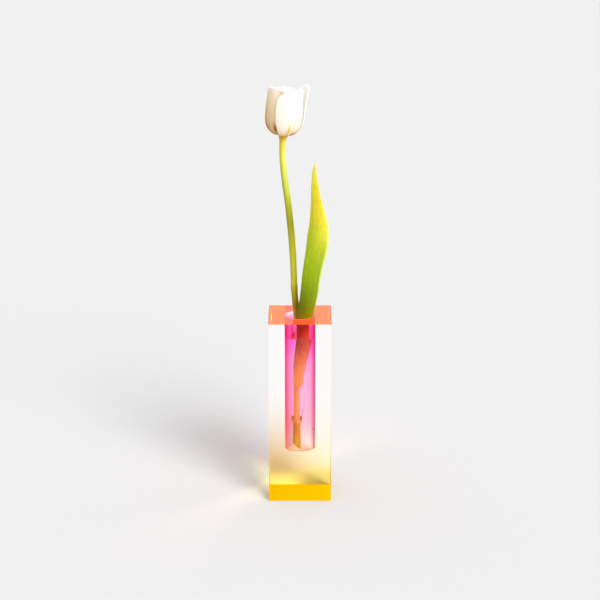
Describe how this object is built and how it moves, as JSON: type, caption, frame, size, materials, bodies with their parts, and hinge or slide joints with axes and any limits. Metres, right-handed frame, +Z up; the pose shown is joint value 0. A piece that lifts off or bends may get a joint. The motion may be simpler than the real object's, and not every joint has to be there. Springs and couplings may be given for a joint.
{
  "type": "tulip in vase",
  "caption": "Cut white tulip with a long leaf standing in water in a clear square acrylic block vase with coral top, pink bore and yellow base layers.",
  "frame": {"origin": "centre of the vase's underside, on the surface it stands on", "axes": "+Z up along the vase and flower, the vase's front face looks along -Y, the leaf leans to +X"},
  "size_m": [0.0626, 0.06, 0.4009],
  "materials": {
    "clear_acrylic": "clear cast acrylic, polished",
    "coral_acrylic": "thin transparent coral layer, polished",
    "yellow_acrylic": "thin transparent yellow layer, polished",
    "pink_acrylic": "thin transparent pink layer, polished",
    "water": "clear still water",
    "stem": "smooth waxy stem, yellow-green, olive and red-brown lower down",
    "leaf": "waxy leaf with fine parallel veins, yellow to deep green",
    "torn_leaf": "dry torn leaf base, tan",
    "petal": "satin white petals with faint veins, yellow-green at the foot",
    "pistil": "pale green, satin",
    "stamens": "powdery yellow"
  },
  "bodies": {
    "root": {"vase_base_layer": "yellow_acrylic", "vase_block": "clear_acrylic", "vase_top_layer": "coral_acrylic", "vase_bore_lining": "pink_acrylic", "water": "water", "stem": "stem", "leaf": "leaf", "torn_leaf_base": "torn_leaf", "petal_outer_front": "petal", "petal_outer_right": "petal", "petal_outer_left": "petal", "petal_inner_right": "petal", "petal_inner_back": "petal", "petal_inner_left": "petal", "pistil": "pistil", "stamens": "stamens"}
  },
  "joints": []
}
